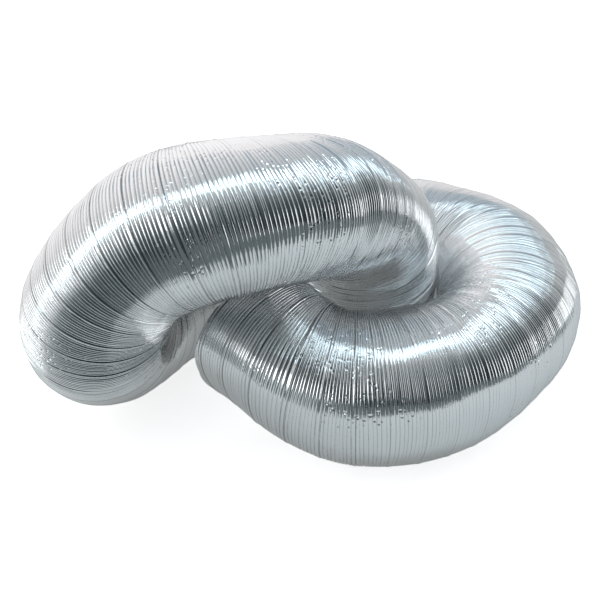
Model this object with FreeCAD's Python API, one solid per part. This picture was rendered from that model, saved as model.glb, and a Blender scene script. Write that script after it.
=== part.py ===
import FreeCAD
import Part
import math
import os

# Semi-rigid aluminium duct hose, nominal 100 mm bore, bent into two interlocked
# loops and lying on a flat surface.  One lock-seamed strip is wound into the hose,
# so each node here is one bend of it, from the middle of one straight run of its
# centre line to the middle of the next.  Millimetres, +Z up, origin on the surface
# under the middle of the hose's box.

OUTER_D = 105.0        # over the crests of the corrugations
WALL_BAND = 1.8        # crest to trough, which the wall occupies
ARC_SHARE = 0.45       # of the shorter run at a bend, taken by the bend's arc

OUTER_R = OUTER_D / 2
BORE_R = OUTER_R - WALL_BAND
REST = OUTER_R         # height of the centre line where the hose lies down

# Centre line, from the mouth that hangs inside the right loop to the mouth that
# is tucked under the upper run.
ROUTE = [
    (35, 26, 62.5),
    (37, 20, 97.5),
    (36, -12, 136.5),
    (15, -67, 167.5),
    (-20, -116, 181.5),
    (-64, -136, 179.5),
    (-108, -131, 163.5),
    (-139, -113, 125.5),
    (-146, -79, 76.5),
    (-141, -28, REST),
    (-113, 32, REST),
    (-72, 92, REST),
    (-15, 134, REST),
    (45, 136, REST),
    (99, 125, REST),
    (138, 83, REST),
    (146, 16, REST),
    (136, -48, REST),
    (102, -98, REST),
    (53, -121, REST),
    (12, -121, 54.5),
    (-21, -110, 65.5),
    (-42, -86, 76.5),
]

# One name for each bend of the route, in order.
SPANS = [
    "upper_mouth",
    "upper_drop",
    "upper_shoulder",
    "upper_crest_right",
    "upper_crest_left",
    "upper_slope",
    "left_loop_top",
    "left_loop_side",
    "left_loop_bottom",
    "return_run_front",
    "return_run_middle",
    "return_run_back",
    "rear_run_left",
    "rear_run_right",
    "right_loop_rear",
    "right_loop_side",
    "right_loop_front",
    "front_run_right",
    "front_run_left",
    "lower_rise",
    "lower_mouth",
]


def middle(a, b):
    """Point halfway between two points."""
    return (a + b) * 0.5


def bend(before, corner, after):
    """Tangent arc at a corner: its start, middle, end, radius and angle."""
    back = before - corner
    ahead = after - corner
    reach = ARC_SHARE * min(back.Length, ahead.Length)
    turn = math.pi - back.getAngle(ahead)
    radius = reach / math.tan(turn / 2)
    back.normalize()
    ahead.normalize()
    start = corner + back * reach
    end = corner + ahead * reach
    inward = back + ahead
    inward.normalize()
    top = corner + inward * (radius / math.cos(turn / 2) - radius)
    return start, top, end, radius, turn


def span_path(points, i):
    """Centre line through bend i, out to the middle of the run on each side."""
    start, top, end, radius, turn = bend(points[i - 1], points[i], points[i + 1])
    first = points[0] if i == 1 else middle(points[i - 1], points[i])
    last = points[-1] if i == len(points) - 2 else middle(points[i], points[i + 1])
    edges = [
        Part.LineSegment(first, start).toShape(),
        Part.Arc(start, top, end).toShape(),
        Part.LineSegment(end, last).toShape(),
    ]
    return Part.Wire(edges), start - first, radius, math.degrees(turn)


def ring_face(centre, direction):
    """Annular section of the hose wall, square to the centre line."""
    outer = Part.Wire(Part.makeCircle(OUTER_R, centre, direction))
    bore = Part.Wire(Part.makeCircle(BORE_R, centre, direction))
    return Part.makeFace([outer, bore], "Part::FaceMakerBullseye")


def hose_span(points, i):
    """Hollow solid of the hose along bend i, with its radius and angle."""
    path, direction, radius, turn = span_path(points, i)
    tube = path.makePipe(ring_face(path.Vertexes[0].Point, direction))
    section = math.pi * (OUTER_R ** 2 - BORE_R ** 2)
    fill = tube.Volume / (section * path.Length)
    return tube, path.Length, radius, turn, fill


def build():
    """Write one STEP file for each span and print what each one measures."""
    os.makedirs("parts", exist_ok=True)
    points = [FreeCAD.Vector(*p) for p in ROUTE]
    total = 0.0
    for i, name in enumerate(SPANS, start=1):
        tube, length, radius, turn, fill = hose_span(points, i)
        total += length
        tube.exportStep(f"parts/{name}.step")
        print(
            f"{name}: length {length:.1f}, radius {radius:.1f}, turn {turn:.0f},"
            f" volume ratio {fill:.4f}, valid {tube.isValid()}, {tube.ShapeType}"
        )
    print(f"centre line {total:.0f} mm")


build()
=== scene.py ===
import math

import bpy
import numpy as np
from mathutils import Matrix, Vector


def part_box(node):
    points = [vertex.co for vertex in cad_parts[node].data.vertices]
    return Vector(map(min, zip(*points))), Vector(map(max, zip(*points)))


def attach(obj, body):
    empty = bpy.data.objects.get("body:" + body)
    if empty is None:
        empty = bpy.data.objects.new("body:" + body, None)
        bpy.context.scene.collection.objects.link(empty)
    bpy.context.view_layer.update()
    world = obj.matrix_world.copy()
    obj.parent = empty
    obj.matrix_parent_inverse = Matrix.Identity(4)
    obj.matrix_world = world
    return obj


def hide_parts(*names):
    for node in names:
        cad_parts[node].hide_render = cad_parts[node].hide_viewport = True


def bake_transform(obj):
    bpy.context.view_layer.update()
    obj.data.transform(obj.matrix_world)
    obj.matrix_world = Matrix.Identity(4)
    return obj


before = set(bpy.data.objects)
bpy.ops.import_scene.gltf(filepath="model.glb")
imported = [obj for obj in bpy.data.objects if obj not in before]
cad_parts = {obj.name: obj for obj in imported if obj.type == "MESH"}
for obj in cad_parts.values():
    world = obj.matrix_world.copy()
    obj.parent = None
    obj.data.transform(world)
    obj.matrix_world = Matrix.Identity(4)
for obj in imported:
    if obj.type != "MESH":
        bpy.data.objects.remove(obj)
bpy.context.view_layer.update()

# Centre line of the duct, in metres, from the mouth inside the right loop to the
# mouth under the upper run.
ROUTE = [
    (0.035, 0.026, 0.0625),
    (0.037, 0.020, 0.0975),
    (0.036, -0.012, 0.1365),
    (0.015, -0.067, 0.1675),
    (-0.020, -0.116, 0.1815),
    (-0.064, -0.136, 0.1795),
    (-0.108, -0.131, 0.1635),
    (-0.139, -0.113, 0.1255),
    (-0.146, -0.079, 0.0765),
    (-0.141, -0.028, 0.0525),
    (-0.113, 0.032, 0.0525),
    (-0.072, 0.092, 0.0525),
    (-0.015, 0.134, 0.0525),
    (0.045, 0.136, 0.0525),
    (0.099, 0.125, 0.0525),
    (0.138, 0.083, 0.0525),
    (0.146, 0.016, 0.0525),
    (0.136, -0.048, 0.0525),
    (0.102, -0.098, 0.0525),
    (0.053, -0.121, 0.0525),
    (0.012, -0.121, 0.0545),
    (-0.021, -0.110, 0.0655),
    (-0.042, -0.086, 0.0765),
]
# The upper run lifts about the middle between this point of the route and the
# next.
HINGE = 7

# The wound strip, in metres.  One pitch of the winding is a folded seam and the
# crimps between it and the next seam.
OUTER_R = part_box("rear_run_left")[1].z / 2
PITCH = 0.0164
SEAM_WIDTH = 0.0022
SEAM_RISE = 0.0003
SEAM_GROOVE = 0.0006
CRIMPS = 8
CRIMP_DEPTH = 0.00088
# One crimp from fold to fold: share of its width, height in crimp depths.  It
# leans to one side, as the rollers leave it.
CRIMP_SHAPE = (
    (0, -1),
    (0.07, -0.6),
    (0.16, -0.18),
    (0.36, 0),
    (0.56, -0.1),
    (0.74, -0.45),
    (0.89, -0.85),
)
FOLD_PAINTED_SHADE = 0.55  # painted shade of a crimp's fold, where the seam's fold gets 1
AROUND = 96  # points round the hose
LINER_DEPTH = 0.09  # how far into each mouth the inside is modelled
FOIL = 0.00025
BEND_HALF = 0.070  # half the length of the bend piece, along the line

# Where the crimps crowd: the stretch at which it starts, and what it takes to
# crowd them fully.
CROWD_START = 0.8
CROWD_SPAN = 0.35

# Unevenness of the winding, in metres unless it is a share.
CRIMP_SHIFT = 0.00022
CRIMP_VARIES = 0.4
RADIUS_VARIES = 0.00004
RIPPLE = 0.00011

# Where the hose gives: distance along it, reach, the side that gives, how far.
# The first one swells instead, where the mouth nears the right loop.
SQUEEZES = [
    (0.030, 0.080, (1.0, 0.0, 0.1), -0.004),
    (0.090, 0.090, (0.40, 0.0, 0.92), 0.014),
    (0.180, 0.110, (0.1, 0.0, 1.0), 0.010),
    (0.360, 0.110, (-0.5, 0.0, 0.87), 0.010),
    (0.980, 0.110, (0.55, -0.65, -0.5), 0.010),
    (1.170, 0.080, (-0.7, -0.45, -0.55), 0.012),
]

UPPER_NODES = [
    "upper_mouth",
    "upper_drop",
    "upper_shoulder",
    "upper_crest_right",
    "upper_crest_left",
    "upper_slope",
]
BEND_NODES = ["left_loop_top", "left_loop_side"]
LOWER_NODES = [
    "left_loop_bottom",
    "return_run_front",
    "return_run_middle",
    "return_run_back",
    "rear_run_left",
    "rear_run_right",
    "right_loop_rear",
    "right_loop_side",
    "right_loop_front",
    "front_run_right",
    "front_run_left",
    "lower_rise",
    "lower_mouth",
]

rng = np.random.default_rng(7)


# ---------------------------------------------------------------- centre line


def centre_line():
    """Points along the duct's NURBS centre line."""
    curve = bpy.data.curves.new("centre_line", "CURVE")
    curve.dimensions = "3D"
    curve.resolution_u = 60
    spline = curve.splines.new("NURBS")
    spline.points.add(len(ROUTE) - 1)
    for point, place in zip(spline.points, ROUTE):
        point.co = (*place, 1.0)
    spline.order_u = 3
    spline.use_endpoint_u = True
    holder = bpy.data.objects.new("centre_line", curve)
    mesh = bpy.data.meshes.new_from_object(holder)
    points = np.array([v.co for v in mesh.vertices], float)
    bpy.data.objects.remove(holder)
    return points


def smooth(values, width):
    """Moving average down the rows, with the ends held."""
    pad = np.concatenate(
        [np.repeat(values[:1], width, 0), values, np.repeat(values[-1:], width, 0)]
    )
    total = np.cumsum(np.concatenate([np.zeros_like(pad[:1]), pad]), 0)
    span = 2 * width + 1
    return (total[span:] - total[:-span]) / span


def unit(v):
    """Rows of v at length 1."""
    return v / np.linalg.norm(v, axis=-1, keepdims=True)


class Line:
    """Centre line with a frame that doesn't twist along it."""

    def __init__(self, points):
        self.points = points
        steps = np.linalg.norm(np.diff(points, axis=0), axis=1)
        self.at = np.concatenate([[0], np.cumsum(steps)])
        self.length = self.at[-1]
        self.along = unit(np.gradient(points, self.at, axis=0))
        side = [unit(np.cross(self.along[0], (0, 1, 0)))]
        for t in self.along[1:]:
            side.append(unit(side[-1] - t * (side[-1] @ t)))
        self.side = np.array(side)
        self.lift = np.cross(self.along, self.side)
        self.curve = smooth(np.gradient(self.along, self.at, axis=0), 12)

    def read(self, rows, s):
        """Rows of a table kept for the line's points, at distances s."""
        return np.stack([np.interp(s, self.at, rows[:, k]) for k in range(3)], -1)

    def nearest(self, place):
        """Distance along the line of its point nearest to a place."""
        return self.at[np.linalg.norm(self.points - np.array(place), axis=1).argmin()]


# ----------------------------------------------------------------- wound strip


def pitch_profile():
    """One pitch of the strip, row by row: place, height, crimp, painted shade of a
    fold.
    """
    rows = [
        # The seam's groove gets the full painted shade.
        (0.0, -SEAM_GROOVE, 0, 1),
        (0.0003, 0.7 * SEAM_RISE, 0, 0),
        (0.0007, SEAM_RISE, 0, 0),
        (0.0012, 0.8 * SEAM_RISE, 0, 0),
        (0.0016, -0.6 * SEAM_GROOVE, 0, 0),
        (0.0019, -0.1 * SEAM_GROOVE, 0, 0),
    ]
    width = (PITCH - SEAM_WIDTH) / CRIMPS
    for k in range(CRIMPS):
        start = SEAM_WIDTH + k * width
        for share, height in CRIMP_SHAPE:
            # Each crimp's fold row gets painted shade.
            shade = FOLD_PAINTED_SHADE if share == 0 else 0
            rows.append((start + share * width, height * CRIMP_DEPTH, k + 1, shade))
    return rows


def wander(turns, kinds, steps, kind_count):
    """Smooth random value from -1 to 1 along the winding, one track for each kind."""
    count = int(turns.max() * steps) + 3
    table = rng.uniform(-1, 1, (kind_count, count))
    place = turns * steps
    low = np.floor(place).astype(int)
    share = place - low
    share = share * share * (3 - 2 * share)
    track = np.broadcast_to(kinds, turns.shape)
    return table[track, low] * (1 - share) + table[track, low + 1] * share


def ripple(s, angle):
    """Slow unevenness of the hose's radius, in metres."""
    total = np.zeros(np.broadcast(s, angle).shape)
    for _ in range(14):
        wave = rng.uniform(0.035, 0.14)
        lobes = rng.integers(-5, 6)
        phase = rng.uniform(0, 2 * math.pi)
        total += np.sin(2 * math.pi * s / wave + lobes * angle + phase)
    return total * RIPPLE


def squeezed(s, out):
    """How far the wall gives where the runs lean on each other, in metres."""
    given = np.zeros(s.shape)
    for middle, reach, direction, depth in SQUEEZES:
        near = np.clip(1 - np.abs(s - middle) / reach, 0, 1)
        near = near * near * (3 - 2 * near)
        given += depth * near * np.maximum(out @ unit(np.array(direction)), 0) ** 2
    return given


def wound_wall(line):
    """Wall of the hose as a grid, one row along each line of the winding.

    Returns the points, the directions outwards, the distances along the centre
    line as they are and before they are clipped to it, and the folds' painted shade.
    """
    profile = pitch_profile()
    per_pitch = len(profile)
    pitches = math.ceil(line.length / PITCH) + 1
    row = np.arange(pitches * per_pitch)
    inside = np.array([p[0] for p in profile])[row % per_pitch]
    height = np.array([p[1] for p in profile])[row % per_pitch]
    crimp = np.array([p[2] for p in profile])[row % per_pitch]
    painted_fold_shade = np.array([p[3] for p in profile], float)[row % per_pitch]
    column = np.arange(AROUND + 1)
    angle = column[None, :] * (2 * math.pi / AROUND)
    raw = (
        (row // per_pitch - 1)[:, None] * PITCH
        + inside[:, None]
        + column[None, :] * (PITCH / AROUND)
    )
    turns = raw / PITCH + 1
    uneven = wander(turns, crimp[:, None], 7, CRIMPS + 1) * (crimp[:, None] > 0)
    s = np.clip(raw + CRIMP_SHIFT * uneven, 0, line.length)
    centre = line.read(line.points, s)
    side, lift = line.read(line.side, s), line.read(line.lift, s)
    out = unit(
        np.cos(angle)[..., None] * side + np.sin(angle)[..., None] * lift
    )
    bend = np.einsum("ijk,ijk->ij", line.read(line.curve, s), out)
    stretch = np.clip(1 - OUTER_R * bend, 0.25, 1.6)
    # Inside a bend every second crimp is pressed flat and the others deepen.
    crowd = np.clip((CROWD_START - stretch) / CROWD_SPAN, 0, 1)
    second = crimp[:, None] % 2
    depth = stretch**-0.2 * (1 + crowd * (0.6 - 1.35 * second))
    vary = CRIMP_VARIES * (1 - 0.6 * crowd)
    depth = depth * (1 + vary * wander(turns, crimp[:, None], 5, CRIMPS + 1))
    radius = (
        OUTER_R
        - SEAM_RISE
        + height[:, None] * depth
        + ripple(s, angle)
        + RADIUS_VARIES * wander(turns, crimp[:, None], 9, CRIMPS + 1)
    )
    radius = radius - squeezed(s, out)
    # Painted shade in the folds: darker at the seam and the deepened crimps of a
    # crowded bend, lighter at the flattened crimps.
    painted_fold_shade = painted_fold_shade[:, None] * (1 + crowd * (0.8 - 1.8 * second))
    return centre + out * radius[..., None], out, s, raw, painted_fold_shade


def wall_normals(wall, out):
    """Unit normals of the wall's grid, pointing outwards."""
    tiny = 1e-12
    n = np.cross(np.gradient(wall, axis=1), np.gradient(wall, axis=0))
    size = np.linalg.norm(n, axis=2, keepdims=True)
    n = np.where(size < tiny, out, n / np.maximum(size, tiny))
    facing = np.einsum("ijk,ijk->ij", n, out)
    return np.where(facing[..., None] < 0, -n, n)


def skin_faces(keep, flipped):
    """Quads between the grid's rows, where keep says so."""
    i, j = np.nonzero(keep[:-1, :-1])
    a, b = i * (AROUND + 1) + j, i * (AROUND + 1) + j + 1
    c, d = b + AROUND + 1, a + AROUND + 1
    quads = [a, d, c, b] if flipped else [a, b, c, d]
    return np.stack(quads, 1)


def rows_between(raw, start, end):
    """Rows of the winding whose middle lies between two distances."""
    middle = raw[:, AROUND // 2]
    picked = np.nonzero((middle >= start) & (middle <= end))[0]
    return slice(max(picked[0] - 1, 0), picked[-1] + 1)


def make_mesh(name, points, normals, painted_fold_shade, faces, material):
    """Mesh object with its own vertex normals, and painted shade in the foil's folds.
    """
    used, index = np.unique(faces, return_inverse=True)
    faces = index.reshape(faces.shape)
    mesh = bpy.data.meshes.new(name)
    mesh.from_pydata(points[used].tolist(), [], faces.tolist())
    mesh.polygons.foreach_set("use_smooth", [True] * len(mesh.polygons))
    mesh.normals_split_custom_set_from_vertices(normals[used].tolist())
    painted_shade_marks = mesh.attributes.new("painted_fold_shade", "FLOAT", "POINT")
    painted_shade_marks.data.foreach_set("value", painted_fold_shade[used].astype(np.float32))
    mesh.materials.append(material)
    piece = bpy.data.objects.new(name, mesh)
    bpy.context.scene.collection.objects.link(piece)
    return piece


def hose_piece(name, wall, normals, s, painted_fold_shade, rows, length, material):
    """Piece of the hose made of some rows, with the inside of a mouth in reach."""
    wall, normals, s = wall[rows], normals[rows], s[rows]
    corners = np.stack([s[:-1, :-1], s[1:, :-1], s[:-1, 1:], s[1:, 1:]])
    low, high = corners.min(0), corners.max(0)
    keep = np.zeros(s.shape, bool)
    keep[:-1, :-1] = high - low > 1e-7
    near_end = np.zeros(s.shape, bool)
    near_end[:-1, :-1] = (low < LINER_DEPTH) | (high > length - LINER_DEPTH)
    outer = skin_faces(keep, False)
    inner = skin_faces(keep & near_end, True) + s.size
    points = np.concatenate([wall, wall - normals * FOIL]).reshape(-1, 3)
    both = np.concatenate([normals, -normals]).reshape(-1, 3)
    painted_fold_shade = np.concatenate([painted_fold_shade[rows], painted_fold_shade[rows]]).ravel()
    faces = np.concatenate([outer, inner])
    return make_mesh(name, points, both, painted_fold_shade, faces, material)


# -------------------------------------------------------------------- material


def add_node(tree, kind, **values):
    """Shader node with some of its inputs set; X_Y stands for the input X Y."""
    node = tree.nodes.new("ShaderNode" + kind)
    for name, value in values.items():
        node.inputs[name.replace("_", " ")].default_value = value
    return node


def aluminium():
    """Bright crimped foil: a mirror-like metal with small dents, dull patches and
    painted shade in its folds.
    """
    material = bpy.data.materials.new("bright_foil")
    material.use_nodes = True
    tree = material.node_tree
    link = tree.links.new
    shader = tree.nodes["Principled BSDF"]
    shader.inputs["Metallic"].default_value = 1.0
    place = add_node(tree, "TexCoord").outputs["Object"]

    # Dull patches.
    patches = add_node(tree, "TexNoise", Scale=45.0, Detail=4.0)
    dull = add_node(
        tree, "MapRange", From_Min=0.3, From_Max=0.75, To_Min=0.09, To_Max=0.18
    )
    link(place, patches.inputs["Vector"])
    link(patches.outputs["Fac"], dull.inputs["Value"])
    link(dull.outputs["Result"], shader.inputs["Roughness"])

    # Small round dents, in loose groups.
    dents = add_node(tree, "TexVoronoi", Scale=240.0)
    pit = add_node(tree, "MapRange", From_Min=0.0, From_Max=0.34)
    spread = add_node(tree, "TexNoise", Scale=16.0, Detail=1.0)
    few = add_node(
        tree, "MapRange", From_Min=0.5, From_Max=0.6, To_Min=1.0, To_Max=0.0
    )
    kept = add_node(tree, "Math")
    kept.operation = "MAXIMUM"
    link(place, dents.inputs["Vector"])
    link(dents.outputs["Distance"], pit.inputs["Value"])
    link(place, spread.inputs["Vector"])
    link(spread.outputs["Fac"], few.inputs["Value"])
    link(pit.outputs["Result"], kept.inputs[0])
    link(few.outputs["Result"], kept.inputs[1])

    # Grain of the rolled foil, laid over the dents.
    grain = add_node(tree, "TexNoise", Scale=420.0, Detail=2.0)
    both = add_node(tree, "Math")
    both.operation = "MULTIPLY_ADD"
    both.inputs[1].default_value = 0.15
    bump = add_node(tree, "Bump", Strength=0.6, Distance=0.0005)
    link(place, grain.inputs["Vector"])
    link(grain.outputs["Fac"], both.inputs[0])
    link(kept.outputs["Value"], both.inputs[2])
    link(both.outputs["Value"], bump.inputs["Height"])
    link(bump.outputs["Normal"], shader.inputs["Normal"])

    # Painted shade in the folds, where little light gets in: the foil's colour is
    # darkened there.
    painted_fold_shade = add_node(tree, "Attribute")
    painted_fold_shade.attribute_name = "painted_fold_shade"
    painted_shade_mix = add_node(tree, "Mix")
    painted_shade_mix.data_type = "RGBA"
    # A is the foil's own colour; B is the painted shade of the folds.
    painted_shade_mix.inputs["A"].default_value = (0.94, 0.95, 0.955, 1)
    painted_shade_mix.inputs["B"].default_value = (0.30, 0.31, 0.31, 1)
    link(painted_fold_shade.outputs["Fac"], painted_shade_mix.inputs["Factor"])
    link(painted_shade_mix.outputs["Result"], shader.inputs["Base Color"])
    return material


# ---------------------------------------------------------------------- studio


def flat_material(name, colour, glow=0.0):
    """Plain stage material, which may shine."""
    material = bpy.data.materials.new(name)
    material.use_nodes = True
    shader = material.node_tree.nodes["Principled BSDF"]
    shader.inputs["Base Color"].default_value = (*colour, 1)
    shader.inputs["Roughness"].default_value = 0.9
    shader.inputs["Specular IOR Level"].default_value = 0.0
    shader.inputs["Emission Color"].default_value = (*colour, 1)
    shader.inputs["Emission Strength"].default_value = glow
    return material


def card(name, outline, centre, turn, material):
    """Flat studio card of an outline, turned by angles in degrees."""
    mesh = bpy.data.meshes.new(name)
    mesh.from_pydata([(x, y, 0) for x, y in outline], [], [range(len(outline))])
    mesh.materials.append(material)
    plane = bpy.data.objects.new(name, mesh)
    plane.location = centre
    plane.rotation_euler = [math.radians(angle) for angle in turn]
    bpy.context.scene.collection.objects.link(plane)
    return plane


def oblong(width, height):
    """Outline of a rectangle round the origin."""
    w, h = width / 2, height / 2
    return [(-w, -h), (w, -h), (w, h), (-w, h)]


def room():
    """World light: a dark room in front and to the right, a white wall behind."""
    world = bpy.data.worlds.new("studio")
    world.use_nodes = True
    tree = world.node_tree
    link = tree.links.new
    place = add_node(tree, "TexCoord")
    along = add_node(tree, "VectorMath")
    along.operation = "DOT_PRODUCT"
    along.inputs[1].default_value = (-0.46, 0.87, 0.15)
    share = add_node(tree, "MapRange", From_Min=-1.0)
    walls = add_node(tree, "ValToRGB")
    stops = walls.color_ramp.elements
    stops[0].position, stops[0].color = 0.0, (0.02, 0.025, 0.03, 1)
    stops[1].position, stops[1].color = 1.0, (1.0, 0.98, 0.99, 1)
    for position, colour in (
        (0.14, (0.05, 0.065, 0.07)),
        (0.26, (0.15, 0.18, 0.19)),
        (0.34, (0.42, 0.44, 0.45)),
        (0.48, (0.43, 0.45, 0.46)),
        (0.57, (0.50, 0.52, 0.53)),
        (0.70, (0.64, 0.64, 0.65)),
        (0.88, (0.90, 0.88, 0.89)),
    ):
        stops.new(position).color = (*colour, 1)
    link(place.outputs["Generated"], along.inputs[0])
    link(along.outputs["Value"], share.inputs["Value"])
    link(share.outputs["Result"], walls.inputs["Fac"])
    link(walls.outputs["Color"], tree.nodes["Background"].inputs["Color"])
    bpy.context.scene.world = world


def studio():
    """Pale floor, and the cards that the foil mirrors and is lit by."""
    flat = (0, 0, 0)
    upright = (90, 0, 90)
    sheet_outline = [
        (0.0, -0.40),
        (0.42, -0.41),
        (0.50, -0.12),
        (0.9, -0.05),
        (1.6, -0.3),
        (1.6, 2.2),
        (-1.6, 2.2),
        (-1.6, -1.1),
        (-0.5, -0.42),
        (-0.42, -0.24),
        (-0.24, -0.19),
        (-0.10, -0.25),
    ]
    pale = flat_material("floor", (0.9, 0.9, 0.9), 0.85)
    grey = flat_material("table", (0.17, 0.19, 0.19))
    white = flat_material("sheet", (0.68, 0.69, 0.685), 0.20)
    sky = flat_material("soft_box", (0.76, 0.92, 1.0), 1.15)
    wall = flat_material("left_wall", (1.0, 1.0, 1.0), 1.2)
    dim = flat_material("right_wall", (1.0, 1.0, 1.0), 0.25)
    shade = flat_material("ceiling", (0.16, 0.20, 0.23), 0.6)

    # The camera sees the white floor; the foil mirrors a sheet on a dark table.
    card("floor", oblong(40, 40), (0, 0, 0), flat, pale).visible_glossy = False
    for mirrored in (
        card("table", oblong(6, 6), (0, 0, 0.0002), flat, grey),
        card("sheet", sheet_outline, (0, 0, 0.0004), flat, white),
    ):
        mirrored.visible_camera = False
        mirrored.visible_diffuse = False
        mirrored.visible_shadow = False
    for name, outline, centre, turn, material in (
        ("soft_box", oblong(3.4, 0.36), (0.04, -0.5, 1.4), (-12, 0, 15), sky),
        ("left_wall", oblong(1.5, 0.5), (-1.5, -0.35, 0.24), upright, wall),
        ("right_wall", oblong(0.8, 0.6), (1.5, -0.15, 0.28), upright, dim),
        ("ceiling", oblong(1.8, 1.1), (0.66, 0.52, 1.36), (32, 0, 128), shade),
    ):
        card(name, outline, centre, turn, material).visible_camera = False
    room()
    bpy.context.scene.view_settings.view_transform = "Standard"


def add_camera():
    """Camera at the height and distance that the object is usually shown from."""
    data = bpy.data.cameras.new("camera")
    data.lens = 114.7
    data.sensor_width = 36
    target = Vector((-0.0074, -0.0298, 0.0767))
    tilt = math.radians(24)
    distance = 1.337
    back = Vector((0, -math.cos(tilt), math.sin(tilt)))
    camera = bpy.data.objects.new("camera", data)
    camera.location = target + back * distance
    camera.rotation_euler = (math.radians(90) - tilt, 0, 0)
    bpy.context.scene.collection.objects.link(camera)
    bpy.context.scene.camera = camera


# ------------------------------------------------------------------------ duct


def build_duct():
    """The duct's three pieces: upper run, the bend between them, and the loops."""
    line = Line(centre_line())
    wall, out, s, raw, painted_fold_shade = wound_wall(line)
    normals = wall_normals(wall, out)
    foil = aluminium()
    above, below = Vector(ROUTE[HINGE]), Vector(ROUTE[HINGE + 1])
    hinge = (above + below) / 2
    first = line.nearest(hinge) - BEND_HALF
    second = line.nearest(hinge) + BEND_HALF
    parts = {}
    for name, start, end, nodes in (
        ("duct_upper_run", -1, first, UPPER_NODES),
        ("duct_left_bend", first, second, BEND_NODES),
        ("duct_loops", second, line.length + 1, LOWER_NODES),
    ):
        rows = rows_between(raw, start, end)
        parts[name] = hose_piece(
            name, wall, normals, s, painted_fold_shade, rows, line.length, foil
        )
        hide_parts(*nodes)
    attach(parts["duct_upper_run"], "upper_run")
    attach(parts["duct_loops"], "lower_loops")
    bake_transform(parts["duct_left_bend"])


add_camera()
build_duct()
studio()
